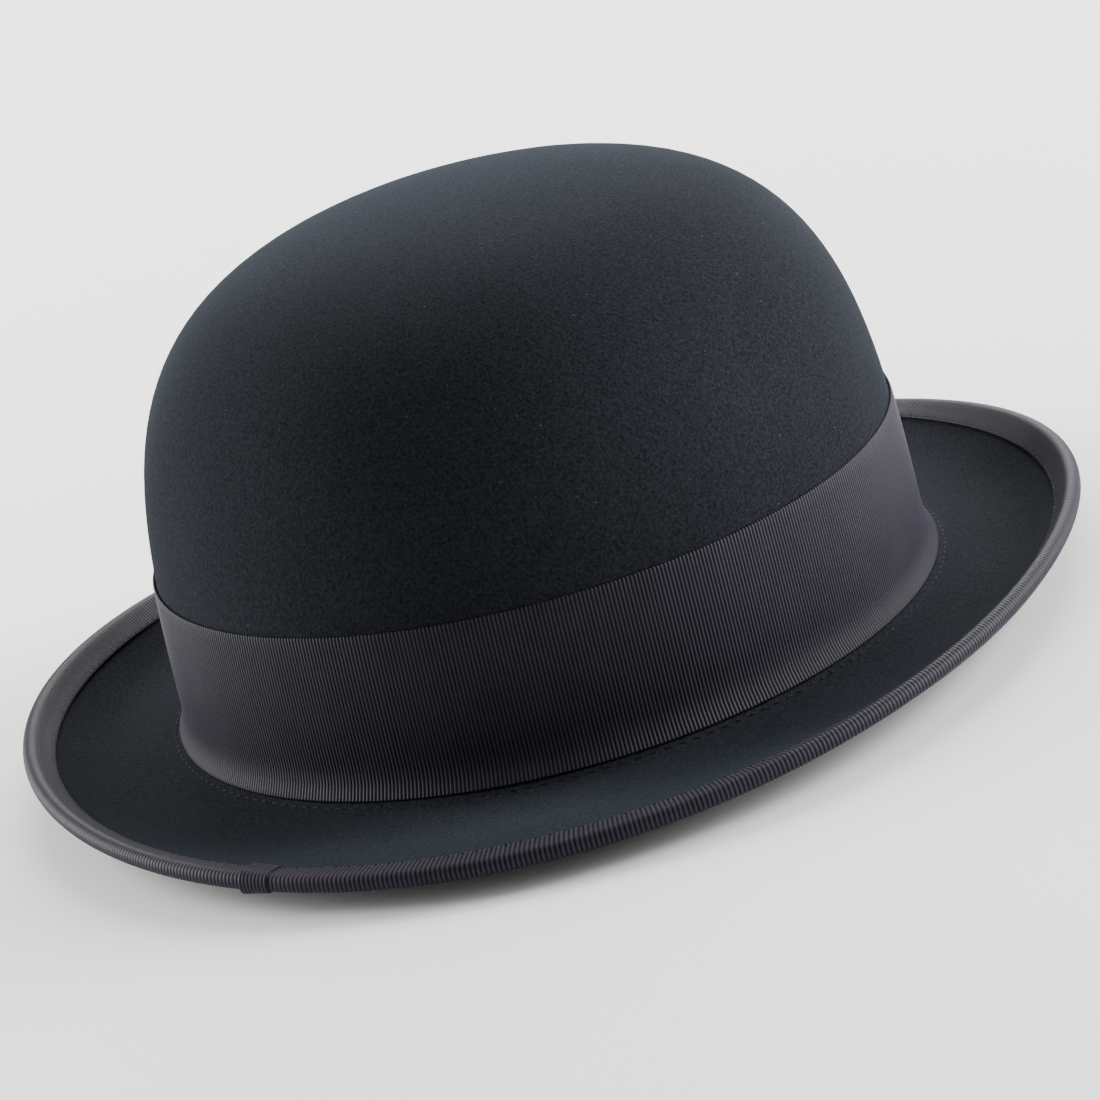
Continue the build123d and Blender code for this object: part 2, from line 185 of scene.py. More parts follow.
class BowlerColours(bpy.types.PropertyGroup):
    """Colours of the hat's cloth, leather and thread."""
    felt_dark: colour("Felt, dark", "#0e0e10", "Black fur felt where the nap lies flat")
    felt_light: colour("Felt, light", "#26292f", "The same felt where the nap stands up")
    felt_sheen: colour("Felt sheen", "#8cabc9", "Blue-grey light in the nap at a low angle")
    lint: colour("Lint", "#6f7275", "Pale specks of lint in the nap")
    # Grosgrain colours: the darker is black ribbon with painted shade in its grooves, and is
    # also the thread's darker tone; the lighter is a painted highlight on the ribs.
    ribbon_black_and_groove_shade: colour("Ribbon, dark", "#060508", "Black grosgrain in its grooves")
    ribbon_rib_highlight: colour("Ribbon, light", "#36323f", "Black grosgrain on its ribs")
    ribbon_sheen: colour("Ribbon sheen", "#a9a3b8", "Violet-grey light along the ribs")
    thread: colour("Thread", "#1c1a1b", "Black sewing thread")
    leather_dark: colour("Leather, dark", "#3a1f12", "Sweatband leather in its pores")
    leather_light: colour("Leather, light", "#7a4526", "Sweatband leather on its face")
    satin_dark: colour("Satin, dark", "#8f8574", "Lining satin between its threads")
    satin: colour("Satin", "#d8cdb8", "Lining satin")
    tape_dark: colour("Tape, dark", "#151312", "Tape round the reed, between its threads")
    tape: colour("Tape", "#2a2522", "Tape round the reed")
    reed_dark: colour("Reed, dark", "#b5a988", "Flexible reed in its streaks")
    reed: colour("Reed", "#d2c8ad", "Flexible reed")
    floor_dark: colour("Floor, dark", "#efefed", "Plain studio floor in its fibres")
    floor: colour("Floor", "#f4f4f2", "Plain studio floor")


class BowlerStage(bpy.types.PropertyGroup):
    """Camera, light and floor."""
    azimuth: angle("Azimuth", 9.303, "Camera's direction from the back of the hat")
    elevation: angle("Elevation", 16.488, "Camera's height angle")
    roll: angle("Roll", 14.569, "How far the view leans to the left")
    distance: length("Distance", 1223.9, "Camera to the middle of the view")
    aim_height: length("Aim height", 45, "Height where the aim starts")
    aim_right: length("Aim right", 2.61, "Aim's shift to the camera's right")
    aim_up: length("Aim up", -19.8, "Aim's shift to the camera's up")
    lens: bpy.props.FloatProperty(name="Lens", description="Focal length on a 36 mm frame",
                                  default=167.4, subtype="DISTANCE_CAMERA", unit="CAMERA")
    sky: share("Sky", 0.5, "Strength of the even light all round")


GROUPS = {"bowler_body": BowlerBody, "bowler_trim": BowlerTrim, "bowler_inside": BowlerInside,
          "bowler_thread": BowlerThread, "bowler_colours": BowlerColours,
          "bowler_stage": BowlerStage}


def groups(context):
    """The settings of the hat, its trim, its inside and its thread."""
    scene = context.scene
    return scene.bowler_body, scene.bowler_trim, scene.bowler_inside, scene.bowler_thread


# ---- the felt's surface ----
def unit(vectors):
    return vectors / np.linalg.norm(vectors, axis=-1, keepdims=True)


def points(x, y, z):
    return np.stack(np.broadcast_arrays(x, y, z), axis=-1)


def cubic(a, b, c, d, t):
    left = 1 - t
    return a * left**3 + b * 3 * left**2 * t + c * 3 * left * t**2 + d * t**3


def crown_rise(hat, part):
    return cubic(0.0, hat.wall_reach, 1.0, 1.0, part)


def crown_point(hat, turn, part):
    """Outside of the crown; part runs from 0 at the break to 1 at the top."""
    radius = cubic(1.0, 1 - hat.wall_lean, hat.top_reach, 0.0, part)
    rise = crown_rise(hat, part)
    return points(hat.half_width * radius * np.cos(turn),
                  hat.half_length * radius * np.sin(turn) + hat.crown_lean * rise,
                  hat.break_height + hat.crown_height * rise)


def crown_part(hat, height):
    """Part of the crown's section that is this high above the break."""
    parts = np.linspace(0, 1, 2001)
    return np.interp(height / hat.crown_height, crown_rise(hat, parts), parts)


def edge_point(hat, turn):
    """Top of the felt at the brim's edge."""
    ends = (hat.rise_front + hat.rise_back) / 2
    tilt = (hat.rise_front - hat.rise_back) / 2
    rise = hat.rise_side * np.cos(turn)**2 + ends * np.sin(turn)**2 + tilt * np.sin(turn)
    return points(hat.brim_half_width * np.cos(turn), hat.brim_half_length * np.sin(turn),
                  hat.break_height + rise + hat.felt / 2)


def brim_point(hat, turn, part):
    """Top of the brim; part runs from 0 at the edge to 1 at the crown."""
    root, edge = crown_point(hat, turn, 0.0), edge_point(hat, turn)
    span = (edge - root) * (1, 1, 0)
    width = np.linalg.norm(span, axis=-1, keepdims=True)
    out, up = span / width, np.array((0.0, 0.0, 1.0))
    curl = hat.curl_side * np.cos(turn)**2 + hat.curl_end * np.sin(turn)**2
    curl = np.broadcast_to(curl, width.shape[:-1])[..., None]
    near_root = root + (out * cos(hat.dish) - up * sin(hat.dish)) * width * hat.dish_pull
    near_edge = edge - (out * np.cos(curl) + up * np.sin(curl)) * width * hat.curl_pull
    return cubic(edge, near_edge, near_root, root, np.asarray(part)[..., None])


def felt_point(hat, turn, place):
    """Top of the felt: place 0 to 1 is the brim, 1 to 2 the turn, 2 to 3 the crown."""
    turn, place = np.broadcast_arrays(turn, np.asarray(place, float))
    start = crown_part(hat, hat.blend_height)
    step = np.clip(place - 1, 0, 1)[..., None]
    brim = brim_point(hat, turn, np.minimum(place, 1) * (1 - hat.blend_share))
    crown = crown_point(hat, turn, start + np.maximum(place - 2, 0) * (1 - start))
    corner = crown_point(hat, turn, 0.0)
    bend = brim * (1 - step)**2 + corner * 2 * step * (1 - step) + crown * step**2
    where = place[..., None]
    return np.where(where < 1, brim, np.where(where > 2, crown, bend))


def felt_normal(hat, turn, place):
    step = 0.0005
    round_ = felt_point(hat, turn + step, place) - felt_point(hat, turn - step, place)
    inward = felt_point(hat, turn, place + step) - felt_point(hat, turn, place - step)
    return unit(np.cross(round_, inward))


def over_felt(hat, turn, place, distance):
    """Point this far outside the felt's outer surface, or inside it if negative."""
    lift = np.asarray(distance)[..., None]
    return felt_point(hat, turn, place) + felt_normal(hat, turn, place) * lift


def nose_point(hat, turn, round_, extra):
    """Point round the brim's edge; round_ runs from 0 on top to 1 underneath."""
    turn, round_, extra = np.broadcast_arrays(turn, round_, extra)
    edge, up = felt_point(hat, turn, 0.0), felt_normal(hat, turn, 0.0)
    out = unit(edge - felt_point(hat, turn, 0.01))
    swing = pi * round_[..., None]
    return (edge - up * hat.felt / 2
            + (up * np.cos(swing) + out * np.sin(swing)) * (hat.felt / 2 + extra[..., None]))


TABLE_TURNS = np.linspace(0, FULL_TURN, 181)
EDGE_PLACES = np.linspace(0, 1.6, 200)
WALL_PLACES = np.linspace(1.15, 3, 700)
tables = {}


def edge_table(hat):
    """Distances in from the brim's edge, along the felt, at each of the table's turns."""
    if "edge" not in tables:
        line = felt_point(hat, TABLE_TURNS[None, :], EDGE_PLACES[:, None])
        gone = np.cumsum(np.linalg.norm(np.diff(line, axis=0), axis=-1), axis=0)
        tables["edge"] = np.vstack([np.zeros(len(TABLE_TURNS)), gone])
    return tables["edge"]


def height_table(hat):
    """Heights above the break, up the turn and the crown, at each of the table's turns."""
    if "height" not in tables:
        line = felt_point(hat, TABLE_TURNS[None, :], WALL_PLACES[:, None])
        tables["height"] = line[..., 2] - hat.break_height
    return tables["height"]


def place_in(hat, turn, distance):
    """Place that is this far in from the brim's edge, along the felt."""
    found = [np.interp(distance, gone, EDGE_PLACES) for gone in edge_table(hat).T]
    return np.interp(np.mod(turn, FULL_TURN), TABLE_TURNS, found)


def place_up(hat, turn, height):
    """Place on the turn or the crown that is this high above the break."""
    found = [np.interp(height, rise, WALL_PLACES) for rise in height_table(hat).T]
    return np.interp(np.mod(turn, FULL_TURN), TABLE_TURNS, found)


def inner_wall(hat, turn, height, distance):
    """Point on the head side of the crown's wall, this far inside the felt."""
    part = crown_part(hat, np.maximum(height, 0.0))
    wall = crown_point(hat, turn, part)
    out = unit(points(np.cos(turn) / hat.half_width, np.sin(turn) / hat.half_length, 0.0))
    level = points(wall[..., 0], wall[..., 1], hat.break_height + np.asarray(height))
    return level - out * (hat.felt + np.asarray(distance)[..., None])


def even_turns(ring, count):
    """Turns that cut a ring of points into this many equal lengths, and its length."""
    turns = np.linspace(0, FULL_TURN, 2881)
    gone = np.cumsum(np.linalg.norm(np.diff(ring(turns), axis=0), axis=-1))
    gone = np.concatenate([[0.0], gone])
    return np.interp(np.linspace(0, gone[-1], count + 1), gone, turns), gone[-1]


def ribbed_turns(ring, pitch, samples=1):
    """Turns for whole ribs round a ring, how many ribs there are, and the ring's length."""
    _, run = even_turns(ring, 1)
    ribs = round(run / pitch)
    return even_turns(ring, ribs * samples)[0], ribs, run


def slow_wave(turn, size, seed):
    """Gentle unevenness round the oval, the same on every run."""
    counts = (3, 5, 8, 13)
    return size * sum(np.sin(turn * n + seed * (i + 1) * 1.7) / (i + 1.5)
                      for i, n in enumerate(counts))


# ---- meshes ----
def surface(name, rows, face=(1.0, 1.0), closed=True):
    """Mesh on a grid of points; face is its size along and across, for the UVs."""
    count, columns = rows.shape[0], rows.shape[1]
    bm = bmesh.new()
    bm.loops.layers.uv.new("UVMap")
    bmesh.ops.create_grid(bm, x_segments=columns - 1, y_segments=count - 1, size=0.5,
                          calc_uvs=True)
    for vert, place in zip(bm.verts, rows.reshape(-1, 3)):
        vert.co = place
    layer = bm.loops.layers.uv.active
    for polygon in bm.faces:
        for loop in polygon.loops:
            loop[layer].uv.x *= face[0]
            loop[layer].uv.y *= face[1]
    if closed:
        bmesh.ops.remove_doubles(bm, verts=bm.verts, dist=WELD)
        rim = [edge for edge in bm.edges if edge.is_boundary]
        bmesh.ops.holes_fill(bm, edges=rim, sides=0)
    return finished(name, bm)


def finished(name, bm):
    """Links a bmesh as a new object with its faces turned outwards."""
    bmesh.ops.recalc_face_normals(bm, faces=bm.faces)
    mesh = bpy.data.meshes.new(name)
    for polygon in bm.faces:
        polygon.smooth = True
    bm.to_mesh(mesh)
    bm.free()
    piece = bpy.data.objects.new(name, mesh)
    bpy.context.scene.collection.objects.link(piece)
    return piece


def hand_over(piece, node, slot):
    """Gives a piece its place in the frame, its CAD node and its finish."""
    piece.data.materials.append(material_for(slot))
    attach(piece, "root")
    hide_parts(node)


def rib(columns):
    """Height of the ribs at each column, from 0 in a groove to 1 on a rib."""
    return np.array(RIB_RISE)[np.arange(columns) % SAMPLES_PER_RIB]


def length_of(line):
    return float(np.linalg.norm(np.diff(line, axis=0), axis=-1).sum())


def thread_bars(name, centres, along, up, bar_length, thickness):
    """Separate stitches, each a plump bar that dips into the cloth at its ends."""
    bm = bmesh.new()
    for centre, run, rise in zip(centres, along, up):
        side = np.cross(rise, run)
        turn = Matrix((run, side, rise)).transposed().to_4x4()
        scale = Matrix.Diagonal((bar_length, thickness, thickness, 1.0))
        bmesh.ops.create_uvsphere(bm, u_segments=8, v_segments=6, radius=0.5,
                                  matrix=Matrix.Translation(Vector(centre)) @ turn @ scale)
    return finished(name, bm)


def thicken(piece, thickness):
    """Gives a sheet its thickness as a finished mesh."""
    bm = bmesh.new()
    bm.from_mesh(piece.data)
    bmesh.ops.recalc_face_normals(bm, faces=bm.faces)
    bmesh.ops.solidify(bm, geom=bm.faces[:], thickness=thickness)
    bmesh.ops.recalc_face_normals(bm, faces=bm.faces)
    bm.to_mesh(piece.data)
    bm.free()


def join_pieces(name, parts):
    """One object from several, with their meshes side by side."""
    bm = bmesh.new()
    for part in parts:
        bm.from_mesh(part.data)
        bpy.data.objects.remove(part)
    return finished(name, bm)


# ---- materials ----
def add(tree, kind, links=None, **settings):
    """One node with its settings; links maps an input to a value or another's output."""
    node = tree.nodes.new(kind)
    for key, value in settings.items():
        setattr(node, key, value)
    for key, value in (links or {}).items():
        if isinstance(value, bpy.types.NodeSocket):
            tree.links.new(value, node.inputs[key])
        else:
            node.inputs[key].default_value = value
    return node


def new_material(name):
    """Empty material with its surface shader; returns it with its tree and shader."""
    material = bpy.data.materials.new(name)
    material.use_nodes = True
    tree = material.node_tree
    tree.nodes.clear()
    shader = add(tree, "ShaderNodeBsdfPrincipled")
    add(tree, "ShaderNodeOutputMaterial", {"Surface": shader.outputs["BSDF"]})
    return material, tree, shader


def rgba(values):
    return (*values, 1.0)


def per_size(millimetres):
    """Texture scale whose features are about this size."""
    return 1 / (millimetres * MM)


def noise(tree, millimetres, detail, roughness=0.5):
    where = add(tree, "ShaderNodeTexCoord").outputs["Object"]
    return add(tree, "ShaderNodeTexNoise", {
        "Vector": where, "Scale": per_size(millimetres), "Detail": detail,
        "Roughness": roughness}).outputs["Fac"]


def cells(tree, millimetres, feature):
    where = add(tree, "ShaderNodeTexCoord").outputs["Object"]
    return add(tree, "ShaderNodeTexVoronoi", {"Vector": where, "Scale": per_size(millimetres)},
               feature=feature).outputs["Distance"]


def bands(tree, pitch, direction, distortion=0.0, detail=2.0):
    """Threads or ribs along the cloth's UVs, one for each pitch."""
    cloth = add(tree, "ShaderNodeTexCoord").outputs["UV"]
    return add(tree, "ShaderNodeTexWave", {
        "Vector": cloth, "Scale": WAVE_STEP / pitch, "Distortion": distortion,
        "Detail": detail}, wave_type="BANDS", bands_direction=direction).outputs["Fac"]


def remap(tree, value, low, high, start=0.0, end=1.0):
    """Takes the range from start to end onto the range from low to high."""
    return add(tree, "ShaderNodeMapRange", {
        "Value": value, "From Min": start, "From Max": end, "To Min": low,
        "To Max": high}).outputs["Result"]


def product(tree, first, second):
    return add(tree, "ShaderNodeMath", {0: first, 1: second},
               operation="MULTIPLY").outputs[0]


def blend(tree, factor, first, second):
    """Colour between two, each given as linear RGB or as another node's output."""
    ends = [value if isinstance(value, bpy.types.NodeSocket) else rgba(value)
            for value in (first, second)]
    return add(tree, "ShaderNodeMix", {"Factor": factor, MIX_FIRST: ends[0],
                                       MIX_SECOND: ends[1]}, data_type="RGBA").outputs[2]


def settle(tree, shader, body, **values):
    """Sets the shader's colour and its uniform numbers."""
    tree.links.new(body, shader.inputs["Base Color"])
    for key, value in values.items():
        shader.inputs[key.replace("_", " ")].default_value = value


def emboss(tree, shader, height, strength, millimetres):
    """Relief too fine for the mesh."""
    bump = add(tree, "ShaderNodeBump", {"Height": height, "Strength": strength,
                                        "Distance": millimetres * MM})
    tree.links.new(bump.outputs["Normal"], shader.inputs["Normal"])


def felt_material(colours):
    """Fur felt, stiffened and brushed: a matte black whose short nap glows at low angles."""
    material, tree, shader = new_material("fur_felt_brushed")
    nap = noise(tree, 0.7, 4.0, 0.7)
    # Painted sheen: a slow mottle that lightens and darkens the felt where its brushed nap
    # would catch more or less light.
    brushed = remap(tree, noise(tree, 35, 4.0, 0.55), 0.85, 1.1)
    tone = remap(tree, product(tree, nap, brushed), 0.0, 1.0, 0.3, 0.7)
    body = blend(tree, tone, colours.felt_dark, colours.felt_light)
    speck = remap(tree, cells(tree, 5, "F1"), 0.35, 0.0, 0.022, 0.045)
    settle(tree, shader, blend(tree, speck, body, colours.lint), Roughness=0.95,
           Specular_IOR_Level=0.03, Sheen_Weight=0.052, Sheen_Roughness=0.3,
           Sheen_Tint=rgba(colours.felt_sheen))
    emboss(tree, shader, nap, 0.7, 0.14)
    return material


def grosgrain_material(colours):
    """Grosgrain, woven in rayon and cotton: dark ribs that catch a violet-grey light, with a
    painted highlight on the ribs and painted shade in the grooves.
    """
    material, tree, shader = new_material("grosgrain_ribbon_woven")
    # Painted highlight on every rib and painted shade in every groove; the slow noise makes
    # the painted highlight stronger in some patches than in others.
    ribs = bands(tree, RIB_LENGTH, "X")
    patchy_rib_highlight = remap(tree, noise(tree, 9, 4.0), 0.55, 1.0)
    body = blend(tree, product(tree, ribs, patchy_rib_highlight), colours.ribbon_black_and_groove_shade, colours.ribbon_rib_highlight)
    settle(tree, shader, body, Roughness=0.55, Specular_IOR_Level=0.1, Sheen_Weight=0.03,
           Sheen_Roughness=0.3, Sheen_Tint=rgba(colours.ribbon_sheen))
    emboss(tree, shader, bands(tree, THREAD_PITCH, "Y", 0.6, 1.0), 0.15, 0.03)
    return material


def thread_material(colours):
    """Mercerised cotton thread, twisted: short black bars with a faint lustre."""
    material, tree, shader = new_material("cotton_thread_twisted")
    body = blend(tree, noise(tree, 0.3, 2.0), colours.ribbon_black_and_groove_shade, colours.thread)
    settle(tree, shader, body, Roughness=0.6, Specular_IOR_Level=0.1)
    return material


def leather_material(colours):
    """Sheepskin roan, glazed: brown with fine pores, a soft shine and handling marks."""
    material, tree, shader = new_material("roan_leather_glazed")
    cloud = noise(tree, 18, 5.0, 0.6)
    body = blend(tree, cloud, colours.leather_dark, colours.leather_light)
    settle(tree, shader, body, Specular_IOR_Level=0.45)
    tree.links.new(remap(tree, cloud, 0.3, 0.55), shader.inputs["Roughness"])
    emboss(tree, shader, cells(tree, 0.9, "SMOOTH_F1"), 0.35, 0.12)
    return material


def satin_material(colours):
    """Acetate satin, woven: pale, with long floats that give soft bright folds."""
    material, tree, shader = new_material("acetate_satin_woven")
    floats = bands(tree, THREAD_PITCH, "DIAGONAL", 1.5)
    body = blend(tree, remap(tree, floats, 0.92, 1.0), colours.satin_dark, colours.satin)
    settle(tree, shader, body, Roughness=0.34, Anisotropic=0.5, Sheen_Weight=0.15)
    emboss(tree, shader, floats, 0.2, 0.04)
    return material


def tape_material(colours):
    """Cotton tape, plain woven: a dull dark band with a fine check of threads."""
    material, tree, shader = new_material("cotton_tape_woven")
    check = noise(tree, 0.5, 2.0)
    settle(tree, shader, blend(tree, check, colours.tape_dark, colours.tape), Roughness=0.85)
    emboss(tree, shader, check, 0.4, 0.1)
    return material


def reed_material(colours):
    """Celluloid reed, rolled: a smooth cream strip with a few darker streaks."""
    material, tree, shader = new_material("celluloid_reed_rolled")
    body = blend(tree, noise(tree, 6, 3.0), colours.reed_dark, colours.reed)
    settle(tree, shader, body, Roughness=0.4)
    return material


def floor_material(colours):
    """Matt paper sweep, uncoated: an even pale ground that only shows soft shade."""
    material, tree, shader = new_material("paper_sweep_matt")
    body = blend(tree, noise(tree, 3, 2.0), colours.floor_dark, colours.floor)
    settle(tree, shader, body, Roughness=0.95, Specular_IOR_Level=0.1)
    return material


MAKERS = {"felt": felt_material, "grosgrain": grosgrain_material, "thread": thread_material,
          "sweatband_leather": leather_material, "satin_lining": satin_material,
          "tape": tape_material, "reed": reed_material, "floor": floor_material}
made_materials = {}


def material_for(slot):
    if slot not in made_materials:
        made_materials[slot] = MAKERS[slot](bpy.context.scene.bowler_colours)
    return made_materials[slot]


# ---- felt ----
class BOWLER_OT_felt_shell(bpy.types.Operator):
    """Crown and brim, blocked from one felt hood"""
    bl_idname = "bowler.felt_shell"
    bl_label = "Felt body"

    def execute(self, context):
        hat = context.scene.bowler_body
        turns = np.linspace(0, FULL_TURN, FELT_COLUMNS + 1)[None, :]
        crown = 3 - np.linspace(0, 1, CROWN_RINGS)[:-1]**CROWN_CLOSER
        bend = np.linspace(2, 1, TURN_RINGS)[:-1]
        brim = np.linspace(1, 0, BRIM_RINGS)[:-1]
        places = np.concatenate([crown, bend, brim])[:, None]
        wave = slow_wave(turns, hat.waviness, 0.9) * np.clip(3 - places, 0, 1)
        wave = wave * np.clip(places * 3, 0, 1)
        outer = over_felt(hat, turns, places[1:], wave[1:])
        nose = nose_point(hat, turns, np.linspace(0, 1, EDGE_RINGS)[:, None], 0.0)
        inner = over_felt(hat, turns, places[:0:-1], -hat.felt)
        top = crown_point(hat, turns, 1.0)
        rows = np.concatenate([top, outer, nose, inner, top - (0, 0, hat.felt)])
        hand_over(surface("felt_body", rows), "felt_shell", "felt")
        return {"FINISHED"}


# ---- hat band ----
BAND_LIP = 0.16 * MM         # how far the woven edge stands out at each rib
EDGE_TUCK = 0.05 * MM        # how far its back edge lies inside that
EDGE_ROUND = 0.1 * MM        # how much its corners are rounded
EDGE_FACE = 0.5 * MM         # where its flat face starts
BAND_SLACK = 0.12 * MM       # unevenness of the ribbon where it was pulled round


class BOWLER_OT_hat_band(bpy.types.Operator):
    """Grosgrain ribbon round the crown, woven with upright ribs"""
    bl_idname = "bowler.hat_band"
    bl_label = "Hat band"

    def execute(self, context):
        hat, trim, _, _ = groups(context)
        middle = trim.band_foot + trim.band_width / 2

        def ring(turns):
            return over_felt(hat, turns, place_up(hat, turns, middle), trim.ribbon)
        turns, ribs, run = ribbed_turns(ring, trim.band_pitch, SAMPLES_PER_RIB)
        rise = rib(len(turns))
        rows = [self.row(hat, trim, turns, rise, *section) for section in self.sections(trim)]
        piece = surface("band_ribbon", np.array(rows),
                        face=(ribs * RIB_LENGTH, 2 * trim.band_width))
        hand_over(piece, "hat_band", "grosgrain")
        return {"FINISHED"}

    def sections(self, trim):
        """Heights and lifts of the rings, whether each is ribbed, and how far it scallops."""
        low, high = trim.lay_gap, trim.lay_gap + trim.ribbon
        middle = (low + high) / 2
        foot, top = trim.band_foot, trim.band_foot + trim.band_width
        back = [(foot + trim.band_width * step, low, False, 0)
                for step in np.linspace(0.01, 0.99, 14)]
        upper = [(top - EDGE_TUCK, low + EDGE_ROUND, False, 0),
                 (top + BAND_LIP, middle, True, BAND_LIP),
                 (top, high - EDGE_ROUND, True, BAND_LIP), (top - EDGE_FACE, high, True, 0)]
        face = [(top - trim.band_width * step, high, True, 0)
                for step in np.linspace(0.08, 0.92, 12)]
        lower = [(foot + EDGE_FACE, high, True, 0), (foot, high - EDGE_ROUND, True, BAND_LIP),
                 (foot - BAND_LIP, middle, True, BAND_LIP), (foot + EDGE_TUCK, low, False, 0)]
        return back + upper + face + lower + back[:1]

    def row(self, hat, trim, turns, rise, height, lift, ribbed, scallop):
        slack = (height - trim.band_foot) / trim.band_width * slow_wave(turns, BAND_SLACK, 2.3)
        lift = lift + abs(slack) - trim.rib_depth * (1 - rise) * ribbed
        shift = (rise - 1) * scallop / hat.crown_height
        return over_felt(hat, turns, place_up(hat, turns, height) + shift, lift)


# ---- bow ----
LOOP_SKIN = 0.35 * MM        # thickness of the ribbon between its ribs
LOOP_STACK = 1.4             # height of a loop's fold, in ribbon thicknesses
LOOP_CREASE = 0.25 * MM      # creases beside the knot, and how far out they fade
LOOP_CREASE_FADE = 8 * MM
KNOT_BEND = 1.6 * MM         # how far in from its ends the knot starts to turn down
KNOT_TUCK = 0.6 * MM         # how far it turns round the loops' edges
KNOT_FOLD = 0.28 * MM        # its lengthwise folds
KNOT_WAIST = 0.1             # share of its width that it loses in the middle
TACK_LENGTH = 1.8 * MM
TACK_OUT = 1.5 * MM          # beyond the knot's ends


class BOWLER_OT_bow(bpy.types.Operator):
    """Flat bow on the wearer's left: two loops, the knot round them and its tacks"""
    bl_idname = "bowler.bow"
    bl_label = "Side bow"

    def execute(self, context):
        hat, trim, _, thread = groups(context)
        self.base = trim.lay_gap * 2 + trim.ribbon
        self.level = trim.band_foot + trim.band_width / 2
        self.loops(hat, trim)
        self.knot(hat, trim)
        self.tacks(hat, trim, thread)
        return {"FINISHED"}

    def turns(self, hat, trim, offset):
        """Turn at a distance along the band from the middle of the bow."""
        reach = np.hypot(hat.half_width * sin(trim.bow_angle),
                         hat.half_length * cos(trim.bow_angle))
        return trim.bow_angle + np.asarray(offset) / reach

    def half_height(self, trim, offset):
        part = np.clip(np.abs(offset) / trim.bow_half_length, 0, 1)
        return (trim.bow_waist + (trim.bow_height - trim.bow_waist) * part**0.7) / 2

    def places(self, hat, turn, height):
        """Places at many heights, from one table at the bow."""
        rise = felt_point(hat, np.full(1, float(np.mean(turn))), WALL_PLACES[:, None])
        return np.interp(height, rise[:, 0, 2] - hat.break_height, WALL_PLACES)

    def loops(self, hat, trim):
        half, fold = trim.bow_half_length, trim.ribbon
        path = 2 * half + pi * fold
        ribs = round(path / trim.band_pitch)
        gone = np.linspace(0, path, ribs * SAMPLES_PER_RIB + 1)
        turned = np.clip((gone - half) / (path - 2 * half), 0, 1)
        out = np.where(gone < half, gone, np.where(gone > path - half, path - gone,
                                                   half + np.sin(turned * pi) * fold))
        outer = turned < 0.5
        puff = trim.bow_puff * np.sin(pi * np.clip(out / half, 0, 1))**1.5
        lift = fold * (1 + np.cos(turned * pi)) / 2 * LOOP_STACK + np.where(outer, puff, 0)
        lift = lift + trim.rib_depth * rib(len(gone)) * np.where(outer, 1, -0.2)
        across = np.linspace(-1, 1, 15)[:, None]
        crease = LOOP_CREASE * np.cos(across * 9) * np.exp(-out / LOOP_CREASE_FADE)
        height = self.level + across * self.half_height(trim, out)
        pieces = []
        for side in (-1, 1):
            turn = self.turns(hat, trim, side * out)[None, :]
            rows = over_felt(hat, turn, self.places(hat, turn, height),
                             self.base + lift + crease)
            pieces.append(surface("bow_loop", rows, closed=False,
                                  face=(ribs * RIB_LENGTH, trim.bow_height)))
        whole = join_pieces("bow_ribbon_loops", pieces)
        thicken(whole, LOOP_SKIN)
        hand_over(whole, "bow_loops", "grosgrain")

    def knot(self, hat, trim):
        half = self.half_height(trim, trim.knot_half_width)
        top = trim.ribbon * LOOP_STACK + trim.bow_puff * 0.6 + 0.25 * MM
        path, width = 2 * half + 2 * top, 2 * trim.knot_half_width
        ribs = round(path / trim.band_pitch)
        gone = np.linspace(-path / 2, path / 2, ribs * SAMPLES_PER_RIB + 1)
        over = np.clip((np.abs(gone) - half + KNOT_BEND) / (top + KNOT_BEND), 0, 1)
        height = np.sign(gone) * np.minimum(np.abs(gone), half + KNOT_TUCK * over)
        lift = top * np.cos(over * pi / 2) + trim.rib_depth * rib(len(gone))
        across = np.linspace(-1, 1, 13)[:, None]
        tuck = 1 - KNOT_WAIST * np.cos(np.clip(gone / half, -1, 1) * pi / 2)
        turn = self.turns(hat, trim, across * trim.knot_half_width * tuck)
        fold = KNOT_FOLD * np.cos(across * 2.5 * pi)
        rows = over_felt(hat, turn, self.places(hat, turn, self.level + height + 0 * turn),
                         self.base + 0.1 * MM + lift + fold)
        piece = surface("bow_ribbon_knot", rows, face=(ribs * RIB_LENGTH, width), closed=False)
        thicken(piece, LOOP_SKIN)
        hand_over(piece, "bow_knot", "grosgrain")

    def tacks(self, hat, trim, thread):
        half = self.half_height(trim, trim.knot_half_width) + TACK_OUT
        offsets = np.repeat((-0.6, 0, 0.6), 2) * trim.knot_half_width
        turns = self.turns(hat, trim, offsets)
        places = np.array([self.places(hat, turn, self.level + side * half)
                           for turn, side in zip(turns, (-1, 1) * 3)])
        up = felt_normal(hat, turns, places)
        along = unit(felt_point(hat, turns, places + 0.01) - felt_point(hat, turns, places))
        centres = over_felt(hat, turns, places, self.base)
        piece = thread_bars("bow_tack_threads", centres, along, up, TACK_LENGTH,
                            thread.thickness)
        hand_over(piece, "bow_tacks", "thread")


# ---- brim binding ----
FACE_STEPS = (0.93, 0.62, 0.3)  # rings across each face of the binding
BINDING_LIP = 0.12 * MM      # how far its woven edge stands out
LAP_FOLD = 1.25              # fullness of the lapped end, which fades along the lap
LAP_FOLD_START = 0.06        # share of the lap over which it rises
LAP_FLOOR = 0.12             # what is left of it at the lap's end


def binding_sections(width, low, high):
    """Rings over the ribbon as (distance in, round the edge, lift, ribbed, below)."""
    inner = [(width, None, low + EDGE_ROUND, False),
             (width + BINDING_LIP, None, (low + high) / 2, True),
             (width, None, high - EDGE_ROUND, True)]
    back = [(width * part, None, low, False) for part in FACE_STEPS]
    face = [(width * part, None, high, True) for part in FACE_STEPS]
    rows = [(*row, False) for row in back[::-1] + inner + face]
    rows += [(0, round_, high, True, False) for round_ in np.linspace(0, 1, EDGE_RINGS)]
    rows += [(*row, True) for row in face[::-1] + inner[::-1] + back]
    rows += [(0, round_, low, False, False) for round_ in (1, 0.5, 0)]
    return rows + rows[:1]


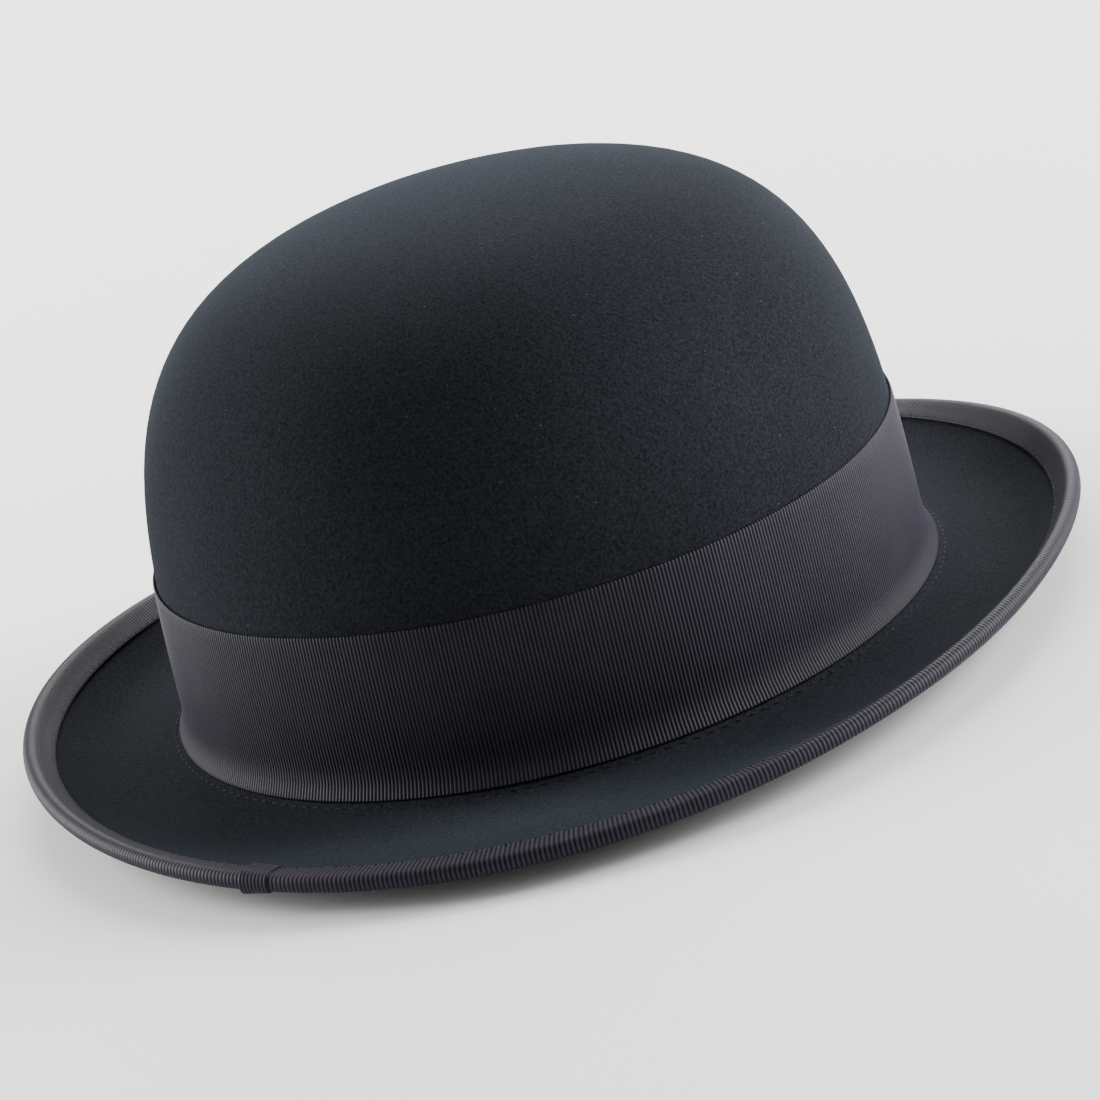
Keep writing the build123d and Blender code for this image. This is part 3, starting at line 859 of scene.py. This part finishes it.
def binding_rows(hat, trim, turns, low, high):
    """Rings of points for a ribbon folded over the brim's edge."""
    rise = rib(len(turns))
    rows = []
    for inward, round_, lift, ribbed, below in binding_sections(trim.binding_width, low, high):
        lift = lift - trim.binding_rib_depth * (1 - rise) * ribbed
        if round_ is not None:
            rows.append(nose_point(hat, turns, round_, lift))
            continue
        side = -hat.felt - lift if below else lift
        rows.append(over_felt(hat, turns, place_in(hat, turns, inward), side))
    return np.array(rows)


class BOWLER_OT_binding(bpy.types.Operator):
    """Grosgrain folded over the brim's edge, with its lapped end"""
    bl_idname = "bowler.binding"
    bl_label = "Brim binding"

    def execute(self, context):
        hat, trim, _, _ = groups(context)

        def ring(turns):
            return nose_point(hat, turns, 0.5, trim.ribbon)
        turns, ribs, run = ribbed_turns(ring, trim.binding_pitch, SAMPLES_PER_RIB)
        low, high = trim.lay_gap, trim.lay_gap + trim.ribbon
        rows = binding_rows(hat, trim, turns, low, high)
        girth = 2 * trim.binding_width + pi * (hat.felt / 2 + high)
        piece = surface("edge_ribbon", rows, face=(ribs * RIB_LENGTH, 2 * girth))
        hand_over(piece, "brim_binding", "grosgrain")
        self.lap(hat, trim, girth)
        return {"FINISHED"}

    def lap(self, hat, trim, girth):
        half = trim.lap_length / 2 / hat.brim_half_length
        ribs = round(trim.lap_length / trim.binding_pitch)
        along = np.linspace(0, 1, ribs * SAMPLES_PER_RIB + 1)
        turns = trim.lap_angle + (2 * along - 1) * half
        fold = (LAP_FOLD * np.clip(along / LAP_FOLD_START, 0, 1)**0.5
                * (1 - 0.85 * along**0.8))
        under = 2 * trim.lay_gap + trim.ribbon
        rows = binding_rows(hat, trim, turns, under, under + trim.ribbon)
        back = binding_rows(hat, trim, turns, trim.lay_gap, under)
        rows = back + (rows - back) * (LAP_FLOOR + fold)[None, :, None]
        piece = surface("edge_ribbon_lap", rows, face=(ribs * RIB_LENGTH, 2 * girth))
        hand_over(piece, "binding_lap", "grosgrain")


# ---- stitches ----
HAND_WANDER = 0.0012         # turn by which hand stitches stray from even spacing
HAND_BEAT = 2.4              # from one stitch to the next in that wander
THREAD_SUNK = 0.2            # share of the thread that its own pull sinks into the cloth


class BOWLER_OT_stitches(bpy.types.Operator):
    """Rows of stitches on the brim and the binding"""
    bl_idname = "bowler.stitches"
    bl_label = "Stitches"

    def execute(self, context):
        hat, trim, _, thread = groups(context)
        sunk = thread.thickness * THREAD_SUNK

        def beside_band(turns):
            foot = place_up(hat, turns, trim.band_foot)
            way = over_felt(hat, turns, foot, 0.0) - over_felt(hat, turns, foot - 0.1, 0.0)
            return foot - 0.1 * thread.sweat_out / np.linalg.norm(way, axis=-1)

        def in_binding(turns):
            return place_in(hat, turns, trim.binding_width - thread.binding_in)
        self.row(hat, "sweatband_stitches", beside_band, sunk, thread.sweat_length,
                 thread.sweat_pitch, thread.thickness)
        self.row(hat, "binding_stitches", in_binding, trim.lay_gap + trim.ribbon - sunk,
                 thread.binding_length, thread.binding_pitch, thread.thickness)
        return {"FINISHED"}

    def row(self, hat, node, place_at, lift, bar_length, pitch, thickness):
        def ring(turns):
            return over_felt(hat, turns, place_at(turns), lift)
        turns = ribbed_turns(ring, pitch)[0][:-1]
        turns = turns + HAND_WANDER * np.sin(np.arange(len(turns)) * HAND_BEAT)
        place = place_at(turns)
        up = felt_normal(hat, turns, place)
        along = unit(felt_point(hat, turns + 0.001, place) - felt_point(hat, turns, place))
        piece = thread_bars(node + "_row", ring(turns), along, up, bar_length, thickness)
        hand_over(piece, node, "thread")


# ---- inside ----
INSIDE_TURNS = np.linspace(0, FULL_TURN, 361)
LEATHER_ROUND = 0.25 * MM    # rounding of the leather's cut edge
LEATHER_PRESS = 4 * MM       # a pressed line this far below its upper edge
LEATHER_WAVE = 0.18 * MM     # slow unevenness of the leather
LEATHER_WRINKLE = 0.12 * MM
BACK_BOW_DROP = 3 * MM       # the small bow's upper edge below the leather's
BACK_BOW_SKIN = 0.3 * MM
BACK_KNOT = 1.6 * MM         # half width of its knot
BACK_BOW_WAIST = 0.4         # its height at the knot, as a share of its ends'
SEAM_PITCH = 2.2 * MM        # stitch to stitch up the leather's seam
SEAM_STITCH = 3.2 * MM
SEAM_SLANT = 0.45
TAPE_ROUND = 0.35 * MM       # rounding of the tape's fold
CORD_GAP = 0.15 * MM         # from the lining to its cord
TIP_SAG = 1.2 * MM           # how far the lining's tip hangs off the felt
TIP_PUCKER = 0.22 * MM       # its puckers along the seam
WALL_FOLD = 0.35 * MM        # soft upright folds in the lining's wall


def leather_back(trim, inside):
    """Head-side distance from the felt to the back of the sweatband."""
    return 2 * trim.lay_gap + inside.lining + inside.tape + inside.pocket_gap


def on_leather(trim, inside):
    """Head-side distance from the felt to what lies on the sweatband."""
    return leather_back(trim, inside) + inside.leather + trim.lay_gap


class BOWLER_OT_sweatband(bpy.types.Operator):
    """Leather strip round the head opening, with its back seam and small bow"""
    bl_idname = "bowler.sweatband"
    bl_label = "Sweatband"

    def execute(self, context):
        hat, trim, inside, thread = groups(context)
        self.band(hat, trim, inside)
        self.bow(hat, trim, inside)
        self.seam(hat, trim, inside, thread)
        return {"FINISHED"}

    def band(self, hat, trim, inside):
        gap = inside.join_gap / 2 / hat.half_width
        turns = np.linspace(-pi / 2 + gap, 3 * pi / 2 - gap, 481)
        back = leather_back(trim, inside)
        face = back + inside.leather
        foot = inside.tape + 2 * inside.pocket_gap + inside.reed_height - inside.reed_drop
        top = inside.leather_height
        levels = np.linspace(foot, top - 0.6 * MM, 22)
        wave = slow_wave(turns, LEATHER_WAVE, 4.1)

        def lift(height):
            up = (height - foot) / (top - foot)
            wrinkle = LEATHER_WRINKLE * np.sin(turns * 61 + up * 5) * np.sin(turns * 7 + 1)
            line = (height - (top - LEATHER_PRESS)) / (0.5 * MM)
            return face + (wave + wrinkle) * up - LEATHER_ROUND * np.exp(-line**2)
        rows = [inner_wall(hat, turns, level, back + wave * (level - foot) / (top - foot))
                for level in levels]
        rows += [inner_wall(hat, turns, top - drop, depth + wave) for drop, depth in (
            (0.15 * MM, back + LEATHER_ROUND), (0, (back + face) / 2),
            (0.15 * MM, face - LEATHER_ROUND))]
        rows += [inner_wall(hat, turns, level, lift(level)) for level in levels[::-1]]
        rows += rows[:1]
        run, width = pi * (hat.half_length + hat.half_width), top - foot
        piece = surface("leather_band", np.array(rows), face=(run, 2 * width))
        hand_over(piece, "sweatband", "sweatband_leather")

    def bow(self, hat, trim, inside):
        half, base = inside.bow_half_length, on_leather(trim, inside)
        level = inside.leather_height - inside.bow_height / 2 - BACK_BOW_DROP
        out = np.linspace(-half, half, 61)
        part = np.abs(out) / half
        height = (inside.bow_height / 2
                  * (BACK_BOW_WAIST + (1 - BACK_BOW_WAIST) * part**0.6))
        lift = 0.35 * MM + 0.55 * MM * np.sin(pi * part)**2
        knot = np.exp(-(out / BACK_KNOT)**2)
        turn = -pi / 2 + out / hat.half_width
        rows = [inner_wall(hat, turn, level + (height + 0.3 * MM * knot) * across,
                           base + (lift + 0.45 * MM * knot) * (1 - 0.5 * across**2))
                for across in np.linspace(-1, 1, 9)]
        piece = surface("inside_bow", np.array(rows), face=(2 * half, inside.bow_height),
                        closed=False)
        thicken(piece, -BACK_BOW_SKIN)
        hand_over(piece, "sweatband_bow", "grosgrain")

    def seam(self, hat, trim, inside, thread):
        foot = inside.tape_height + 2 * MM
        top = inside.leather_height - inside.bow_height - 8 * MM
        heights = np.arange(foot, top, SEAM_PITCH)
        turn = np.full(len(heights), -pi / 2)
        centres = inner_wall(hat, turn, heights, on_leather(trim, inside) + 0 * turn)
        lean = np.where(np.arange(len(heights)) % 2, SEAM_SLANT, -SEAM_SLANT)
        along = unit(points(1.0, 0.0, lean))
        up = np.tile((0.0, 1.0, 0.0), (len(heights), 1))
        piece = thread_bars("seam_cross_stitches", centres, along, up, SEAM_STITCH,
                            thread.thickness)
        hand_over(piece, "seam_stitches", "thread")


class BOWLER_OT_reed(bpy.types.Operator):
    """Reed in its tape at the sweatband's lower edge"""
    bl_idname = "bowler.reed"
    bl_label = "Reed and tape"

    def execute(self, context):
        hat, trim, inside, _ = groups(context)
        back = leather_back(trim, inside)
        foot = inside.tape + inside.pocket_gap - inside.reed_drop
        section = [(0.2, 0), (0.8, 0), (1, 0.3), (1, 0.7), (0.8, 1), (0.2, 1), (0, 0.7),
                   (0, 0.3), (0.2, 0)]
        piece = self.strip(hat, "reed_strip", (1.0, 1.0), [
            (foot + inside.reed_height * up, back + inside.reed * over)
            for up, over in section])
        hand_over(piece, "sweatband_reed", "reed")
        self.tape(hat, trim, inside)
        return {"FINISHED"}

    def strip(self, hat, name, face, corners):
        rows = [inner_wall(hat, INSIDE_TURNS, height, depth + 0 * INSIDE_TURNS)
                for height, depth in corners]
        return surface(name, np.array(rows), face)

    def tape(self, hat, trim, inside):
        inner_back = leather_back(trim, inside) - inside.pocket_gap
        outer_back = inner_back - inside.tape
        inner_face = inner_back + inside.leather + 2 * inside.pocket_gap
        face = inner_face + inside.tape
        foot, floor = -inside.reed_drop, inside.tape - inside.reed_drop
        top = inside.tape_height - inside.reed_drop
        turn_in = 0.25 * MM
        piece = self.strip(hat, "reed_pocket_tape", (0.6, 0.012), [
            (foot + TAPE_ROUND, outer_back), (top, outer_back), (top, inner_back),
            (floor, inner_back), (floor, inner_face), (top, inner_face), (top, face),
            (foot + TAPE_ROUND, face), (foot + 0.1 * MM, face - turn_in),
            (foot, (outer_back + face) / 2), (foot + 0.1 * MM, outer_back + turn_in),
            (foot + TAPE_ROUND, outer_back)])
        hand_over(piece, "reed_tape", "tape")


class BOWLER_OT_lining(bpy.types.Operator):
    """Satin lining: its wall, its oval tip and the corded seam between them"""
    bl_idname = "bowler.lining"
    bl_label = "Lining"

    def execute(self, context):
        hat, trim, inside, _ = groups(context)
        self.wall(hat, trim, inside)
        self.tip(hat, trim, inside)
        self.cord(hat, trim, inside)
        return {"FINISHED"}

    def crown_place(self, hat, part):
        start = crown_part(hat, hat.blend_height)
        return 2 + (part - start) / (1 - start)

    def skin(self, hat, trim, inside, parts, folds):
        """Both faces of a sheet that hangs inside the crown, with its soft folds."""
        turns = INSIDE_TURNS[None, :]
        places = self.crown_place(hat, parts)[:, None]
        lift = (hat.felt + trim.lay_gap
                + folds(turns, np.linspace(0, 1, len(parts))[:, None]))
        return (over_felt(hat, turns, places, -lift),
                over_felt(hat, turns, places, -lift - inside.lining))

    def wall(self, hat, trim, inside):
        top = inside.seam_height - inside.piping
        parts = crown_part(hat, np.linspace(inside.lining_foot, top, 30))

        def folds(turns, up):
            soft = np.sin(turns * 23 + 2 * np.sin(turns * 3)) * np.sin(turns * 5 + 1)
            return WALL_FOLD * (1 + soft) * up * (1 - up) * 3.2
        outer, inner = self.skin(hat, trim, inside, parts, folds)
        run, width = length_of(outer[0]), length_of(outer[:, 0])
        piece = surface("satin_side", np.concatenate([outer, inner[::-1], outer[:1]]),
                        face=(run, 2 * width))
        hand_over(piece, "lining_wall", "satin_lining")

    def tip(self, hat, trim, inside):
        start = float(crown_part(hat, inside.seam_height + inside.piping))
        parts = np.linspace(start, 1, 34)

        def folds(turns, up):
            pucker = np.exp(-up * 9) * (1 + np.sin(turns * 90 + 3 * np.sin(turns * 4)))
            return TIP_PUCKER * pucker + TIP_SAG * np.sin(np.clip(up, 0, 1) * pi / 2)**2
        outer, inner = self.skin(hat, trim, inside, parts[:-1], folds)
        pole = crown_point(hat, INSIDE_TURNS[None, :], 1.0)
        pole = pole - (0, 0, hat.felt + trim.lay_gap + TIP_SAG)
        rows = np.concatenate([pole, outer[::-1], inner, pole - (0, 0, inside.lining)])
        piece = surface("satin_tip", rows, face=(0.5, 0.2))
        hand_over(piece, "lining_tip", "satin_lining")

    def cord(self, hat, trim, inside):
        turns = np.linspace(0, FULL_TURN, 721)
        place = self.crown_place(hat, crown_part(hat, inside.seam_height))
        depth = -hat.felt - trim.lay_gap - CORD_GAP - inside.piping
        middle = over_felt(hat, turns, place, depth)
        up = felt_normal(hat, turns, place)
        rise = unit(felt_point(hat, turns, place + 0.01) - felt_point(hat, turns, place))
        twist = 1 + 0.06 * np.sin(turns * 220)[:, None]
        rows = [middle + (up * cos(swing) + rise * sin(swing)) * inside.piping * twist
                for swing in np.linspace(0, FULL_TURN, 13)]
        piece = surface("satin_cord", np.array(rows), face=(0.5, 0.005))
        hand_over(piece, "lining_piping", "satin_lining")


# ---- stage ----
LAMPS = (("softbox_right", (1.3, 0.35, 0.5), 62.0, 1.0),  # name, place, watts, width
         ("softbox_left", (-1.3, 0.35, 0.5), 48.0, 1.0),
         ("softbox_behind", (0.1, 1.5, 1.1), 60.0, 1.4))
LAMP_AIM = (0, 0, 0.06)
FLOOR_HALF = 3.0
FLOOR_DROP = 0.2 * MM        # so that the floor clears the lowest piece


class BOWLER_OT_stage(bpy.types.Operator):
    """Pale floor, even studio light and the camera"""
    bl_idname = "bowler.stage"
    bl_label = "Stage"

    def execute(self, context):
        stage = context.scene.bowler_stage
        self.floor()
        self.light(context, stage)
        self.camera(context, stage)
        return {"FINISHED"}

    def floor(self):
        bm = bmesh.new()
        bmesh.ops.create_grid(bm, x_segments=8, y_segments=8, size=FLOOR_HALF)
        floor = finished("studio_floor", bm)
        floor.data.materials.append(material_for("floor"))
        floor.data.transform(Matrix.Translation((0, 0, CAD_BOX[0][2] - FLOOR_DROP)))

    def light(self, context, stage):
        world = bpy.data.worlds.new("even_white_studio")
        world.use_nodes = True
        sky = world.node_tree.nodes["Background"]
        sky.inputs["Color"].default_value = (1, 1, 1, 1)
        sky.inputs["Strength"].default_value = stage.sky
        context.scene.world = world
        for name, place, power, size in LAMPS:
            lamp = bpy.data.lights.new(name, "AREA")
            lamp.energy, lamp.size = power, size
            holder = bpy.data.objects.new(name, lamp)
            holder.location = place
            aim = Vector(LAMP_AIM) - Vector(place)
            holder.rotation_euler = aim.to_track_quat("-Z", "Y").to_euler()
            context.scene.collection.objects.link(holder)

    def camera(self, context, stage):
        az, el = stage.azimuth, stage.elevation
        back = Vector((sin(az) * cos(el), -cos(az) * cos(el), sin(el)))
        right = Vector((cos(az), sin(az), 0))
        up = back.cross(right)
        turned_right = right * cos(stage.roll) - up * sin(stage.roll)
        turned_up = right * sin(stage.roll) + up * cos(stage.roll)
        place = (Vector((0, 0, stage.aim_height)) + back * stage.distance
                 + right * stage.aim_right + up * stage.aim_up)
        data = bpy.data.cameras.new("camera")
        data.lens, data.sensor_width, data.clip_start = stage.lens, 36, 0.05
        camera = bpy.data.objects.new("camera", data)
        turn = Matrix((turned_right, turned_up, back)).transposed().to_4x4()
        camera.matrix_world = Matrix.Translation(place) @ turn
        context.scene.collection.objects.link(camera)
        context.scene.camera = camera


OPERATORS = (BOWLER_OT_felt_shell, BOWLER_OT_hat_band, BOWLER_OT_bow, BOWLER_OT_binding,
             BOWLER_OT_stitches, BOWLER_OT_sweatband, BOWLER_OT_reed, BOWLER_OT_lining,
             BOWLER_OT_stage)


class BOWLER_PT_pieces(bpy.types.Panel):
    """Lists the hat's sizes and the steps that build it"""
    bl_idname = "BOWLER_PT_pieces"
    bl_label = "Bowler hat"
    bl_space_type = "VIEW_3D"
    bl_region_type = "UI"
    bl_category = "Bowler"

    def draw(self, context):
        for group in GROUPS:
            box = self.layout.box()
            settings = getattr(context.scene, group)
            for name in settings.__annotations__:
                box.prop(settings, name)
        for operator in OPERATORS:
            self.layout.operator(operator.bl_idname)


def register():
    for name, group in GROUPS.items():
        bpy.utils.register_class(group)
        setattr(bpy.types.Scene, name, bpy.props.PointerProperty(type=group))
    for item in (*OPERATORS, BOWLER_PT_pieces):
        bpy.utils.register_class(item)


def unregister():
    for item in (BOWLER_PT_pieces, *reversed(OPERATORS)):
        bpy.utils.unregister_class(item)
    for name, group in reversed(GROUPS.items()):
        delattr(bpy.types.Scene, name)
        bpy.utils.unregister_class(group)


def main():
    register()
    for operator in OPERATORS:
        family, step = operator.bl_idname.split(".")
        getattr(getattr(bpy.ops, family), step)()


if __name__ == "__main__":
    main()
